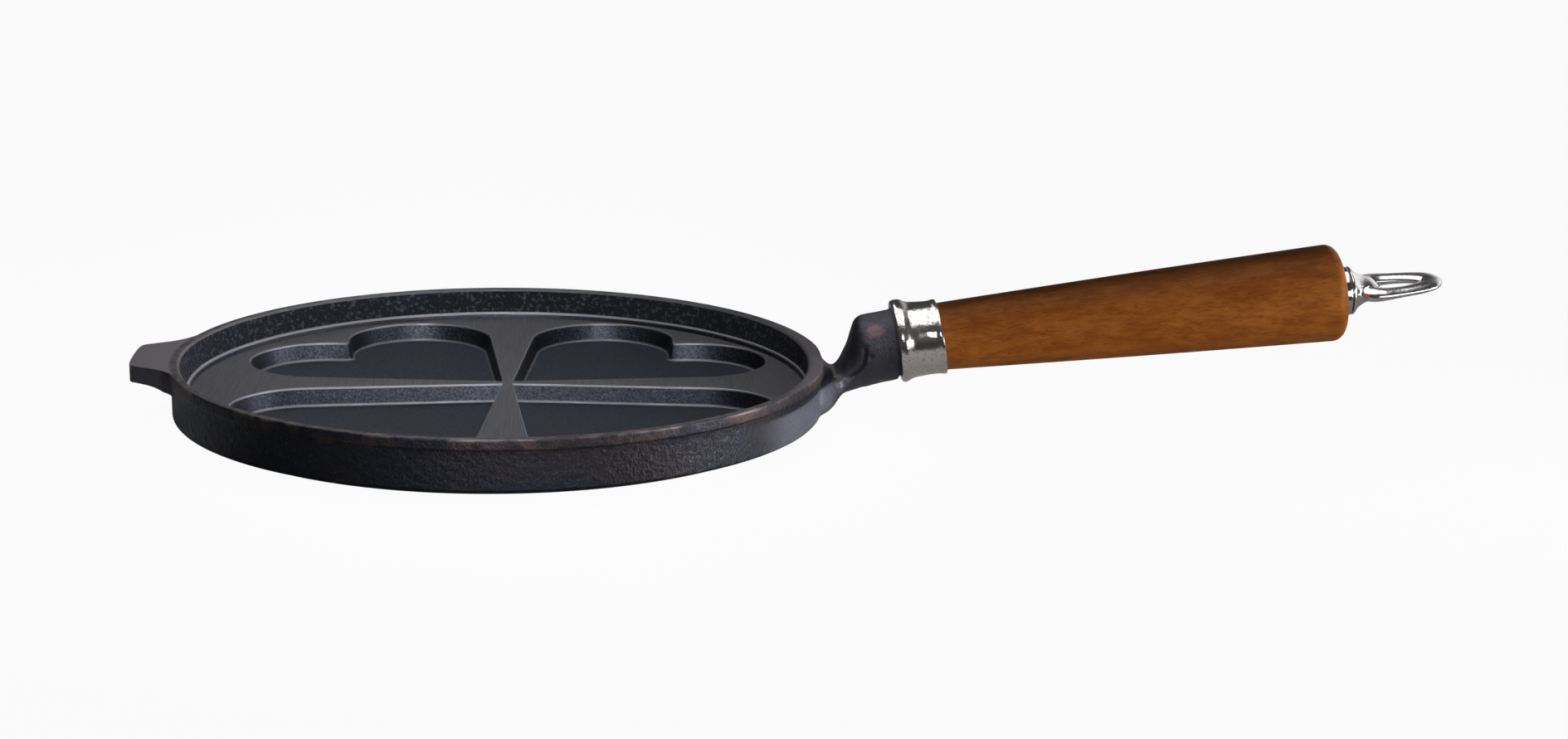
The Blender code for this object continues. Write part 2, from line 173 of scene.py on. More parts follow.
sweep = bmesh.new()
bmesh.ops.create_grid(sweep, x_segments=1, y_segments=1, size=floor_half_width)
floor_mesh = bpy.data.meshes.new("floor")
sweep.to_mesh(floor_mesh)
sweep.free()
floor_mesh.materials.append(paper)
floor = bpy.data.objects.new("floor", floor_mesh)
scene.collection.objects.link(floor)

for name, aim, around, up, distance, width, height, power, grid, plain, mirrored in softboxes:
    lamp = bpy.data.lights.new(name, "AREA")
    lamp.shape = "RECTANGLE"
    lamp.size = width
    lamp.size_y = height
    lamp.energy = power
    lamp.spread = math.radians(grid)
    holder = bpy.data.objects.new(name, lamp)
    scene.collection.objects.link(holder)
    holder.visible_camera = False
    holder.visible_diffuse = plain
    holder.visible_glossy = mirrored
    holder.matrix_world = (
        Matrix.Translation(aim)
        @ Matrix.Rotation(math.radians(around), 4, "Z")
        @ Matrix.Rotation(math.pi / 2 - math.radians(up), 4, "X")
        @ Matrix.Translation((0, 0, distance))
    )


# Pan casting: one piece of sand-cast iron, oiled and burnt in. The rim, tab, arm
# and wells all come out of one mould; only the inside of the pan is machined.
# The arm and the tab run into the wall with cast fillets.
weld = 0.01 * mm
pan_steps = 288
rim_radius = 115 * mm
pan_height = 20 * mm
plate_radius = 108.3 * mm
plate_top = 9.2 * mm
base_radius = 107.5 * mm


def arc(centre, radius, start, end, steps):
    """Points on an arc in (radius, height), angles in degrees, both ends included."""
    angles = [math.radians(start + (end - start) * i / steps) for i in range(steps + 1)]
    return [(centre[0] + radius * math.cos(a), centre[1] + radius * math.sin(a)) for a in angles]


def run(start, end, steps):
    """Points on a straight run after its start, up to and with its end."""
    shares = [i / steps for i in range(1, steps + 1)]
    return [(start[0] + (end[0] - start[0]) * s, start[1] + (end[1] - start[1]) * s)
            for s in shares]


def turned(outline, steps, closed):
    """A body turned about Z from an outline of (radius, height) points."""
    body = bmesh.new()
    points = [body.verts.new((r, 0, z)) for r, z in outline]
    edges = [body.edges.new(pair) for pair in zip(points, points[1:])]
    if closed:
        edges.append(body.edges.new((points[-1], points[0])))
    bmesh.ops.spin(body, geom=points + edges, axis=(0, 0, 1), cent=(0, 0, 0),
                   steps=steps, angle=math.tau, use_merge=True)
    bmesh.ops.remove_doubles(body, verts=body.verts[:], dist=weld)
    bmesh.ops.recalc_face_normals(body, faces=body.faces[:])
    return body


def follow(rows, place):
    """The row at a place, on a smooth curve through rows that each begin with their place."""
    last = len(rows) - 1
    i = max(k for k in range(last) if rows[k][0] <= place or k == 0)
    span = rows[i + 1][0] - rows[i][0]
    t = min(1, max(0, (place - rows[i][0]) / span))
    before, after = max(0, i - 1), min(last, i + 2)
    values = []
    for k in range(1, len(rows[0])):
        p, q = rows[i][k], rows[i + 1][k]
        slope_p = (q - rows[before][k]) / (rows[i + 1][0] - rows[before][0]) * span
        slope_q = (rows[after][k] - p) / (rows[after][0] - rows[i][0]) * span
        values.append((2 * t ** 3 - 3 * t ** 2 + 1) * p + (t ** 3 - 2 * t ** 2 + t) * slope_p
                      + (3 * t ** 2 - 2 * t ** 3) * q + (t ** 3 - t ** 2) * slope_q)
    return values


def fade(value, full, none):
    """1 at full, 0 at none, with an S-shaped change between them."""
    share = min(1, max(0, (value - none) / (full - none)))
    return share * share * (3 - 2 * share)


def relax(body, verts):
    """Moves vertices halfway to the middle of their neighbours."""
    bmesh.ops.smooth_vert(body, verts=verts, factor=0.5,
                          use_axis_x=True, use_axis_y=True, use_axis_z=True)


# The section of the pan: plate edge, ledge, sloping inner wall, rim, the raised band
# below it, outer wall and foot.
pan_outline = [(plate_radius, plate_top), (108.36 * mm, 9.6 * mm), (108.6 * mm, 10.7 * mm)]
pan_outline += [(108.68 * mm, 10.9 * mm), (108.8 * mm, 11.0 * mm), (108.9 * mm, 11.0 * mm)]
pan_outline += arc((108.9 * mm, 11.5 * mm), 0.5 * mm, -75, -10, 3)
pan_outline += run((109.4 * mm, 11.5 * mm), (111.55 * mm, 19.1 * mm), 7)
pan_outline += [(111.68 * mm, 19.32 * mm), (112.15 * mm, 19.84 * mm), (112.45 * mm, pan_height)]
pan_outline += [(113.1 * mm, pan_height), (113.8 * mm, pan_height)]
pan_outline += arc((114.4 * mm, 19.4 * mm), 0.6 * mm, 90, 0, 4)
pan_outline += run((rim_radius, 19.4 * mm), (rim_radius, 16.8 * mm), 2)
pan_outline += [(114.95 * mm, 16.4 * mm), (114.78 * mm, 16.05 * mm), (114.6 * mm, 15.75 * mm)]
pan_outline += run((114.52 * mm, 15.4 * mm), (114.4 * mm, 3.4 * mm), 9)
pan_outline += arc((113.5 * mm, 3.2 * mm), 0.9 * mm, 0, -72, 4)
pan_outline += [(108.0 * mm, 0.25 * mm), (107.8 * mm, 0.08 * mm), (base_radius, 0)]
pan = turned(pan_outline, pan_steps, False)

# The rim is thicker inside where the arm joins it, and dips into the arm there.
pad_bearing = math.radians(40)
pad_inset = 2.7 * mm
pad_foot = 11.2 * mm
pad_from, pad_to = 109.3 * mm, 113 * mm
saddle_drop = 1.6 * mm
saddle_half_width = 15 * mm
saddle_foot = 12 * mm
saddle_start = 112 * mm
for vert in pan.verts:
    reach = vert.co.xy.length
    bearing = abs(math.atan2(vert.co.y, vert.co.x))
    if pad_from < reach < pad_to and vert.co.z > pad_foot and bearing < pad_bearing:
        swell = (1 + math.cos(math.pi * bearing / pad_bearing)) / 2
        height = (vert.co.z - pad_foot) / (pan_height - pad_foot)
        vert.co.xy *= 1 - pad_inset * swell * height / reach
for vert in pan.verts:
    if vert.co.x > 0 and vert.co.z > saddle_foot:
        across = fade(abs(vert.co.y), 0, saddle_half_width)
        vert.co.z -= saddle_drop * across * fade(vert.co.xy.length, rim_radius, saddle_start)


def faces_near(side, least_reach, least_height, half_width):
    """The pan's faces by the X axis, on its + or - side, outside a radius and above a height."""
    found = []
    for face in pan.faces:
        middle = face.calc_center_median()
        if (middle.xy.length > least_reach and middle.z > least_height
                and abs(middle.y) < half_width and middle.x * side > 0):
            found.append(face)
    return found


# Finer faces where the arm and the tab meet the wall, so that the fillets come out smooth.
meeting = faces_near(1, 110.5 * mm, 0.3 * mm, 32 * mm)
meeting += faces_near(-1, 112.8 * mm, 8 * mm, 40 * mm)
fine = list({e for f in meeting for e in f.edges})
bmesh.ops.subdivide_edges(pan, edges=fine, cuts=2, use_grid_fill=True)

# The four heart wells, each turned a quarter about the pattern's centre. Their outlines
# are cut out of the plate and then sunk in steps: lip, drafted wall, fillet, floor.
pattern_centre = Vector((2.4 * mm, 3.6 * mm, plate_top))
well_margin = 0.7 * mm
tip_setback = 1.5 * mm
lobe_radius_share = 0.262
lobe_bearing = math.radians(27)
lobe_steps = 56
cusp_rounds = 3
well_depth = 6.7 * mm
well_lip = 0.45 * mm
well_draft = 1.7 * mm
well_fillet = 1.0 * mm
lip_steps = 3
fillet_steps = 6


def heart_outline():
    """One heart in the +X +Y quarter, symmetric about the diagonal, its point at the centre."""
    offset = pattern_centre.xy
    outward = offset.dot(Vector((math.sin(lobe_bearing), math.cos(lobe_bearing))))
    room = plate_radius - well_margin
    reach = math.sqrt(room ** 2 + outward ** 2 - offset.length_squared) - outward
    radius = reach * lobe_radius_share
    middle = reach - radius
    centre = Vector((middle * math.cos(lobe_bearing), middle * math.sin(lobe_bearing)))
    tip = Vector((tip_setback, tip_setback))
    to_tip = tip - centre
    tangent = math.atan2(to_tip.y, to_tip.x) + math.acos(radius / to_tip.length)
    notch = math.pi * 3 / 4 - math.acos((centre.x - centre.y) / math.sqrt(2) / radius)
    angles = [tangent + (notch - tangent) * i / lobe_steps for i in range(lobe_steps + 1)]
    lobe = [centre + radius * Vector((math.cos(a), math.sin(a))) for a in angles]
    return [tip] + lobe + [Vector((p.y, p.x)) for p in reversed(lobe[:-1])]


def quarter_steps(steps):
    """Pairs of angles that step through a quarter turn."""
    angles = [math.pi / 2 * i / steps for i in range(steps + 1)]
    return zip(angles, angles[1:])


well_edges = []
well_loops = []
for quarter in range(4):
    turn = Matrix.Rotation(quarter * math.pi / 2, 3, "Z")
    loop = [pan.verts.new(pattern_centre + turn @ p.to_3d()) for p in heart_outline()]
    well_loops.append(loop)
    well_edges += [pan.edges.new((loop[i], loop[i - 1])) for i in range(len(loop))]
    for i in range(cusp_rounds):
        relax(pan, loop[lobe_steps:lobe_steps + 3])
plate_ring = [e for e in pan.edges if e.is_boundary and e.verts[0].co.z > plate_top / 2]
base_ring = [e for e in pan.edges if e.is_boundary and e.verts[0].co.z < plate_top / 2]
bmesh.ops.triangle_fill(pan, use_beauty=True, use_dissolve=False, normal=(0, 0, 1),
                        edges=plate_ring + well_edges)
bmesh.ops.contextual_create(pan, geom=base_ring)
sinks = [(well_lip * (math.sin(b) - math.sin(a)), well_lip * (math.cos(a) - math.cos(b)))
         for a, b in quarter_steps(lip_steps)]
sinks.append((well_draft - well_lip, well_depth - well_lip - well_fillet))
sinks += [(well_fillet * (math.cos(a) - math.cos(b)), well_fillet * (math.sin(b) - math.sin(a)))
          for a, b in quarter_steps(fillet_steps)]
for loop in well_loops:
    face = pan.faces.new(loop)
    face.normal_update()
    if face.normal.z < 0:
        face.normal_flip()
    for inward, down in sinks:
        bmesh.ops.inset_individual(pan, faces=[face], thickness=inward, depth=-down,
                                   use_even_offset=False)
bmesh.ops.recalc_face_normals(pan, faces=pan.faces[:])

# The handle's centre line, whose own Z runs along it and whose -X is up.
handle_height = 22.15 * mm
handle_tilt = math.radians(6.6)
handle_line = (Matrix.Translation((rim_radius, 0, handle_height))
               @ Matrix.Rotation(math.pi / 2 - handle_tilt, 4, "Y"))

# The arm. Each row: place along the line, underside and top from the line, half width,
# all in millimetres, and how square the section is.
arm_rows = (
    (-5.0, -19.8, -2.0, 29.0, 2.2),
    (-3.6, -19.9, -2.2, 25.6, 2.2),
    (-2.2, -20.0, -2.7, 22.4, 2.2),
    (-0.8, -19.8, -3.7, 19.2, 2.2),
    (0.7, -19.2, -5.7, 16.2, 2.2),
    (2.5, -17.9, -7.0, 13.5, 2.4),
    (4.0, -16.6, -6.5, 11.6, 2.6),
    (5.6, -15.75, -4.75, 10.75, 2.6),
    (7.4, -15.6, -1.5, 10.4, 2.5),
    (9.1, -15.4, 1.75, 10.4, 2.4),
    (10.6, -15.25, 5.75, 10.75, 2.3),
    (12.0, -15.0, 8.9, 11.25, 2.2),
    (13.8, -14.9, 10.4, 11.75, 2.2),
    (16.5, -14.5, 11.0, 12.25, 2.1),
    (20.0, -14.1, 11.25, 12.4, 2.0),
    (25.4, -13.5, 11.9, 12.5, 2.0),
    (26.0, -12.5, 12.5, 12.5, 2.0),
    (28.6, -12.5, 12.5, 12.5, 2.0),
)
arm_stations = 90
arm_points = 140
# The arm flares into the wall. The flare's lower half is squarer than its upper half, and
# its sides bend back so that they start inside the wall. Each effect is whole up to one
# place along the line and gone from the next.
flare_fullness = 1.6
flare_full_at, flare_none_at = 0, 4
start_bend = 2.2
bend_full_at, bend_none_at = -5, -2.2
# A casting crease runs round the boss on the near side, and a small pit lies beside it:
# both are placed along and up from the line, in millimetres. The crease is whole within
# one angle of its bearing and gone at the next, in degrees, and both marks fade towards
# the arm's top and underside.
crease_middle = Vector((4.5, 0.5))
crease_radius = 9.5
crease_width = 0.8
crease_depth = 0.9
crease_bearing = -38
crease_whole, crease_gone = 34, 52
crease_side_gain = 1.5
pit_place = Vector((15.8, -1.9))
arm = bmesh.new()
bmesh.ops.create_grid(arm, x_segments=arm_stations, y_segments=arm_points, size=0.5)
for vert in arm.verts:
    along = arm_rows[0][0] + (arm_rows[-1][0] - arm_rows[0][0]) * (vert.co.x + 0.5)
    low, high, half_width, square = follow(arm_rows, along)
    angle = (vert.co.y + 0.5) * math.tau
    c, s = math.cos(angle), math.sin(angle)
    if c < 0:
        square += flare_fullness * fade(along, flare_full_at, flare_none_at)
    up = math.copysign(abs(c) ** (2 / square), c)
    side = math.copysign(abs(s) ** (2 / square), s)
    height = (high + low) / 2 + up * (high - low) / 2
    if side < 0:
        place = Vector((along, height))
        bearing = math.degrees(math.atan2(height - crease_middle.y, along - crease_middle.x))
        aside = ((place - crease_middle).length - crease_radius) / crease_width
        groove = math.exp(-aside ** 2)
        groove *= fade(abs(bearing - crease_bearing), crease_whole, crease_gone)
        pit = math.exp(-((place - pit_place).length / crease_width) ** 2)
        half_width -= crease_depth * max(groove, pit) * min(1, abs(side) * crease_side_gain)
    along -= start_bend * side ** 2 * fade(along, bend_full_at, bend_none_at)
    vert.co = Vector((-height, side * half_width, along)) * mm
bmesh.ops.remove_doubles(arm, verts=arm.verts[:], dist=weld)
bmesh.ops.holes_fill(arm, edges=[e for e in arm.edges if e.is_boundary], sides=0)
bmesh.ops.recalc_face_normals(arm, faces=arm.faces[:])
bmesh.ops.transform(arm, matrix=handle_line, verts=arm.verts[:])

# The helper tab. Each row: place out from the rim and half width, in millimetres.
tab_rows = (
    (-6.36, 34.7), (-5.23, 32.1), (-3.62, 29.0), (-2.01, 26.4), (0.0, 24.0), (3.22, 21.2),
    (7.24, 18.8), (9.65, 17.3), (11.46, 16.2), (12.4, 14.74), (13.0, 12.15), (13.29, 7.3),
    (13.4, 1.6),
)
tab_stations = 60
tab_inner_stations = 10
tab_top_drop = 0.02 * mm
tab_thickness = 5.9 * mm
tab_gusset = 1.6 * mm
tab_edge_round = 1.1 * mm
tab_edge_least = math.radians(60)
tab_cover = 1.8 * mm
half = []
for i in range(tab_stations + 1):
    out = tab_rows[0][0] + (tab_rows[-1][0] - tab_rows[0][0]) * (1 - (1 - i / tab_stations) ** 2)
    half.append((-rim_radius - out * mm, follow(tab_rows, out)[0] * mm))
tab = bmesh.new()
bearing = math.asin(half[0][1] / (rim_radius - tab_cover))
inner = [((tab_cover - rim_radius) * math.cos(bearing * (1 - i / tab_inner_stations)),
          (rim_radius - tab_cover) * math.sin(bearing * (1 - i / tab_inner_stations)))
         for i in range(1, 2 * tab_inner_stations)]
plan = half[::-1] + inner + [(x, -y) for x, y in half]
lid = tab.faces.new([tab.verts.new((x, y, pan_height - tab_top_drop)) for x, y in plan])
under = bmesh.ops.extrude_face_region(tab, geom=[lid])
for vert in [v for v in under["geom"] if isinstance(v, bmesh.types.BMVert)]:
    share = min(1, max(0, 1 - (-rim_radius - vert.co.x) / (tab_rows[-1][0] * mm)))
    vert.co.z -= tab_thickness + tab_gusset * share ** 3
bmesh.ops.recalc_face_normals(tab, faces=tab.faces[:])
tab_edges = [e for e in tab.edges if e.calc_face_angle(0) > tab_edge_least
             and all(v.co.xy.length > rim_radius - tab_cover / 2 for v in e.verts)]
bmesh.ops.bevel(tab, geom=tab_edges, offset=tab_edge_round, segments=5, profile=0.5,
                affect="EDGES", material=-1, clamp_overlap=True)


def to_object(body, name):
    """Turns a bmesh into an object, smooth but for its sharp edges."""
    mesh = bpy.data.meshes.new(name)
    body.to_mesh(mesh)
    body.free()
    mesh.shade_smooth()
    item = bpy.data.objects.new(name, mesh)
    scene.collection.objects.link(item)
    return item


def fused(body, others, name):
    """One closed bmesh of a body and what is cast onto it."""
    base = to_object(body, name)
    extras = [to_object(other, name) for other in others]
    for extra in extras:
        union = base.modifiers.new("cast_on", "BOOLEAN")
        union.operation = "UNION"
        union.solver = "EXACT"
        union.object = extra
    done = bmesh.new()
    done.from_object(base, bpy.context.evaluated_depsgraph_get())
    for item in [base] + extras:
        bpy.data.objects.remove(item, do_unlink=True)
    bmesh.ops.remove_doubles(done, verts=done.verts[:], dist=weld)
    return done


pan = fused(pan, [arm, tab], "pan_casting")

# Cast fillets: the surface relaxes where the arm and the tab meet the wall and rim, in
# zones that shrink from round to round. A pair of sizes is what stays of a zone and what
# shrinks away, in millimetres.
root_rounds = 14
root_from, root_above = 112.6 * mm, 1.8 * mm
root_middle, root_spread = 116 * mm, 3.6 * mm
root_half_width = (14, 8)
flare_rounds = 36
flare_to = 124 * mm
flare_bottom, flare_top = 1.0 * mm, 14.5 * mm
flare_spread = (2, 4)
flare_inner_width = 5 * mm
flare_half_width = (16, 12)
tab_root_from, tab_root_above = 113.4 * mm, 9 * mm
tab_root_middle, tab_root_spread = 115 * mm, 3 * mm
tab_root_half_width = 38 * mm


def shrunk(pair, share):
    """A zone's size, from its pair of what stays and what shrinks away."""
    return (pair[0] + pair[1] * share) * mm


for i in range(root_rounds):
    share = 1 - i / root_rounds
    relax(pan, [v for v in pan.verts
                if v.co.x > 0 and v.co.xy.length > root_from and v.co.z > root_above
                and abs(v.co.xy.length - root_middle) < root_spread * share
                and abs(v.co.y) < shrunk(root_half_width, share)])
flare = [v for v in pan.verts if v.co.x > 0 and root_from < v.co.xy.length < flare_to
         and flare_bottom < v.co.z < flare_top]
for i in range(flare_rounds):
    share = 1 - i / flare_rounds
    relax(pan, [v for v in flare
                if abs(v.co.xy.length - root_middle) < shrunk(flare_spread, share)
                and flare_inner_width < abs(v.co.y) < shrunk(flare_half_width, share)])
for i in range(root_rounds):
    share = 1 - i / root_rounds
    relax(pan, [v for v in pan.verts
                if v.co.x < 0 and v.co.xy.length > tab_root_from and v.co.z > tab_root_above
                and abs(v.co.xy.length - tab_root_middle) < tab_root_spread * share
                and abs(v.co.y) < tab_root_half_width])
pan_piece = to_object(pan, "iron_pan")
pan_piece.data.set_sharp_from_angle(angle=math.radians(38))
even = pan_piece.modifiers.new("even_shading", "WEIGHTED_NORMAL")
even.keep_sharp = True


def new_finish(name):
    """A new material, its node tree and its shader."""
    material = bpy.data.materials.new(name)
    material.use_nodes = True
    tree = material.node_tree
    return material, tree, tree.nodes["Principled BSDF"]


def mottle(tree, coords, scale, detail=2.0, roughness=0.5):
    """A noise value over the surface."""
    made = place_node(tree, "TexNoise", {"Vector": coords, "Scale": scale, "Detail": detail,
                                         "Roughness": roughness})
    return made.outputs["Fac"]


def between(tree, value, low, high, first=0.0, last=1.0):
    """Maps a value smoothly from one range to another."""
    made = place_node(tree, "MapRange", {"Value": value, "From Min": low, "From Max": high,
                                         "To Min": first, "To Max": last},
                      interpolation_type="SMOOTHSTEP")
    return made.outputs["Result"]


def band(tree, value, rise, fall):
    """1 within a band of values, which it enters over one pair and leaves over the other."""
    return product(tree, between(tree, value, *rise), between(tree, value, *fall))


def total(tree, *values):
    return joined(tree, "ADD", *values)


def less(tree, first, second):
    return joined(tree, "SUBTRACT", first, second)


def blend_colour(tree, factor, first, second):
    """Mixes two colours, each a plain colour or a socket, by a socket's value."""
    made = place_node(tree, "Mix", data_type="RGBA")
    tree.links.new(factor, made.inputs[0])
    for socket, colour in ((6, first), (7, second)):
        if isinstance(colour, bpy.types.NodeSocket):
            tree.links.new(colour, made.inputs[socket])
        else:
            made.inputs[socket].default_value = (*colour, 1)
    return made.outputs[2]


def patch(tree, coords, centre, radius, ragged):
    """A soft ragged spot on the surface round a point."""
    away = place_node(tree, "VectorMath", {0: coords, 1: centre}, operation="DISTANCE")
    torn = total(tree, product(tree, mottle(tree, coords, 600, 3.0, 0.6), ragged),
                 away.outputs["Value"])
    return between(tree, torn, radius + ragged * 0.5, radius * 0.6 + ragged * 0.4)


# The iron's finish goes by place: how level the surface is, its height above the base
# and its distance from the pan's axis.
iron, tree, shader = new_finish("cast_iron")
coords = place_node(tree, "TexCoord").outputs["Object"]
surface = place_node(tree, "SeparateXYZ", {0: place_node(tree, "NewGeometry").outputs["Normal"]})
split = place_node(tree, "SeparateXYZ", {0: coords})
rightward, backward, above_base = (split.outputs[axis] for axis in "XYZ")
in_plan = place_node(tree, "CombineXYZ", {"X": rightward, "Y": backward})
from_axis = place_node(tree, "VectorMath", {0: in_plan.outputs[0]},
                       operation="LENGTH").outputs["Value"]
level = between(tree, surface.outputs["Z"], 0.90, 0.985)
sloped = less(tree, 1.0, level)
end_on = between(tree, place_node(tree, "Math", {0: surface.outputs["X"]},
                                  operation="ABSOLUTE").outputs[0], 0.60, 0.95)

# Inside the pan: the planed plate and rim, the wells, and pale edge lines painted on as highlights.
raised = between(tree, above_base, plate_top - 0.5 * mm, plate_top - 0.2 * mm)
machined = product(tree, level, raised)
sunk = less(tree, 1.0, raised)
in_plate = between(tree, from_axis, plate_radius, plate_radius - 0.4 * mm)
well_wall = product(tree, sunk, sloped, in_plate)
well_floor = product(tree, level, sunk)
floor_height = plate_top - well_depth
lip_zone = product(tree, sloped, in_plate,
                   between(tree, above_base, plate_top - 0.9 * mm, plate_top - 0.4 * mm))
foot_zone = product(tree, sloped, in_plate,
                    between(tree, above_base, floor_height + 1.1 * mm, floor_height + 0.5 * mm))
chamfer_zone = product(tree, between(tree, above_base, 19.0 * mm, 19.3 * mm),
                       between(tree, from_axis, 113.0 * mm, 112.5 * mm), sloped)
ledge_zone = product(tree, band(tree, above_base, (10.4 * mm, 10.8 * mm), (11.5 * mm, 11.2 * mm)),
                     between(tree, from_axis, 110.0 * mm, 109.4 * mm))
# Pale lines along the well lips, the rim's inner chamfer, the ledge and the wells' feet: painted
# highlights.
painted_edge_highlights = largest(tree, lip_zone, product(tree, chamfer_zone, 0.4), ledge_zone,
                 product(tree, foot_zone, 0.5))
inner_wall = product(tree, band(tree, from_axis, (108.9 * mm, 109.3 * mm), (112.6 * mm, 112.3 * mm)),
                     sloped, between(tree, above_base, 10.6 * mm, 11.2 * mm))

# The rim and its band, the tab, the arm, and where the arm leaves the wall.
on_rim = band(tree, from_axis, (113.8 * mm, 114.3 * mm), (115.7 * mm, 115.2 * mm))
rim_edge = product(tree, on_rim, sloped, between(tree, above_base, 18.9 * mm, 19.4 * mm))
rim_band = product(tree, on_rim, between(tree, above_base, 14.6 * mm, 16.4 * mm))
rim_top = product(tree, band(tree, from_axis, (112.2 * mm, 112.5 * mm), (115.4 * mm, 115.0 * mm)),
                  machined, between(tree, rightward, 96 * mm, 88 * mm))
off_pan = between(tree, from_axis, 115.3 * mm, 117.5 * mm)
on_tab = product(tree, between(tree, from_axis, 114.2 * mm, 115.5 * mm), machined,
                 between(tree, rightward, 0, -20 * mm))
# The tab's sloping sides are painted lighter: painted light where the lamps hardly reach.
tab_side_painted_light = product(tree, between(tree, rightward, -114.5 * mm, -117 * mm), sloped)
on_flare = product(tree, between(tree, from_axis, 109 * mm, 111 * mm), machined,
                   between(tree, rightward, 95 * mm, 106 * mm))
near_arm = product(tree, between(tree, from_axis, 113.5 * mm, 114.0 * mm),
                   between(tree, rightward, 86 * mm, 102 * mm))
# A dark band under the rim's band by the arm: painted shadow.
painted_shadow_under_rim = product(tree, band(tree, above_base, (12.9 * mm, 14.4 * mm), (17.2 * mm, 16.2 * mm)),
                   near_arm, between(tree, from_axis, 121 * mm, 117 * mm))
# A pale blue-grey patch on the wall below it, where the arm flares in: painted light.
painted_light_under_arm = product(tree, between(tree, above_base, 14.2 * mm, 12.8 * mm),
                    between(tree, from_axis, 119.5 * mm, 117.0 * mm), near_arm)
pink = patch(tree, coords, (132.0 * mm, -11.5 * mm, 32.8 * mm), 5.2 * mm, 3.5 * mm)
russet = patch(tree, coords, (119.6 * mm, -12.5 * mm, 13.4 * mm), 2.0 * mm, 2.0 * mm)

# Relief: sand grain and lumps on the rough skin, fine combing on the planed parts.
sand = mottle(tree, coords, 1300, 2.0, 0.55)
lumps = mottle(tree, coords, 420, 2.0, 0.5)
combed = place_node(tree, "Mapping", {"Vector": coords, "Scale": (1500, 60, 300)})
tool_marks = mottle(tree, combed.outputs[0], 1.0, 2.0, 0.5)
rough_height = total(tree, product(tree, sand, 0.35),
                     product(tree, lumps, between(tree, well_wall, 0, 1, 0.95, 0.25)))
flat_height = total(tree, product(tree, tool_marks, 0.16), product(tree, sand, 0.10))
height = place_node(tree, "Mix", {0: level, 2: rough_height, 3: flat_height}).outputs[0]
bumps = place_node(tree, "Bump", {"Height": height, "Strength": 1.0, "Distance": 0.40 * mm})

# Colour: coats laid over the cast skin one after another, each where its mask lets it. Several coats
# are painted light, shade, shadow and highlights, as marked.
drift = between(tree, mottle(tree, coords, 26, 3.0, 0.55), 0.38, 0.66)
scaly = between(tree, mottle(tree, coords, 60, 4.0, 0.6), 0.42, 0.62)
grit = between(tree, mottle(tree, coords, 1250, 3.0, 0.6), 0.36, 0.66)
crust_and_glint_spots = between(tree, mottle(tree, coords, 620, 3.0, 0.6), 0.50, 0.68)
combing = between(tree, tool_marks, 0.3, 0.7)
rim_mottle = between(tree, mottle(tree, coords, 220, 4.0, 0.65), 0.40, 0.62)
# Pale specks on the rough walls: painted glints.
painted_glint_specks = product(tree, between(tree, mottle(tree, coords, 1400, 2.0, 0.6), 0.58, 0.74),
                 less(tree, 1.0, largest(tree, level, inner_wall)))
# The walls of the front wells are painted darker, and the wall ends that face sideways darker still:
# painted shade.
front_wells_painted_shade = product(tree, between(tree, backward, 6 * mm, -6 * mm), 0.55)
speckled_wall = blend_colour(tree, grit, (0.020, 0.022, 0.031), (0.052, 0.056, 0.071))
front_shaded_wall = blend_colour(tree, front_wells_painted_shade, speckled_wall, (0.010, 0.011, 0.016))
painted_shade_wall = blend_colour(tree, end_on, front_shaded_wall, (0.016, 0.017, 0.024))
# The inner wall: dark crust with pale spots, which are painted glints on its lumps.
crust_and_glints = blend_colour(tree, crust_and_glint_spots, (0.004, 0.005, 0.008), (0.036, 0.040, 0.052))
planed = blend_colour(tree, combing, (0.064, 0.064, 0.073), (0.084, 0.084, 0.096))
rim_skin = blend_colour(tree, rim_mottle, (0.040, 0.038, 0.044), (0.105, 0.088, 0.088))
skin = blend_colour(tree, drift, (0.026, 0.030, 0.042), (0.035, 0.031, 0.037))
for mask, coat in (
    (off_pan, (0.056, 0.056, 0.068)),
    (tab_side_painted_light, (0.105, 0.105, 0.125)),
    (product(tree, rim_band, scaly), (0.075, 0.052, 0.048)),
    (product(tree, painted_light_under_arm, 0.8), (0.150, 0.153, 0.190)),
    (painted_shadow_under_rim, (0.010, 0.010, 0.014)),
    (product(tree, pink, 0.8), (0.190, 0.125, 0.128)),
    (product(tree, russet, 0.7), (0.085, 0.062, 0.060)),
    (well_wall, painted_shade_wall),
    (inner_wall, crust_and_glints),
    (well_floor, (0.013, 0.016, 0.028)),
    (machined, planed),
    (rim_top, rim_skin),
    (largest(tree, on_tab, product(tree, on_flare, 0.6)), (0.160, 0.144, 0.157)),
    # Pale coat on those edges and on the rim's outer edge: painted highlights.
    (largest(tree, painted_edge_highlights, product(tree, rim_edge, scaly, 0.4)), (0.240, 0.240, 0.265)),
    (product(tree, painted_glint_specks, 0.35), (0.150, 0.152, 0.175)),
):
    skin = blend_colour(tree, mask, skin, coat)
dull = product(tree, largest(tree, inner_wall, level), 0.9)
rough = total(tree, between(tree, sand, 0.3, 0.75, 0.56, 0.42), product(tree, level, 0.15),
              product(tree, inner_wall, 0.35))
tree.links.new(skin, shader.inputs["Base Color"])
tree.links.new(less(tree, 0.9, dull), shader.inputs["Metallic"])
tree.links.new(rough, shader.inputs["Roughness"])
tree.links.new(bumps.outputs[0], shader.inputs["Normal"])
shader.inputs["Specular IOR Level"].default_value = 0.20
pan_piece.data.materials.append(iron)
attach(pan_piece, "root")
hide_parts("pan_casting")


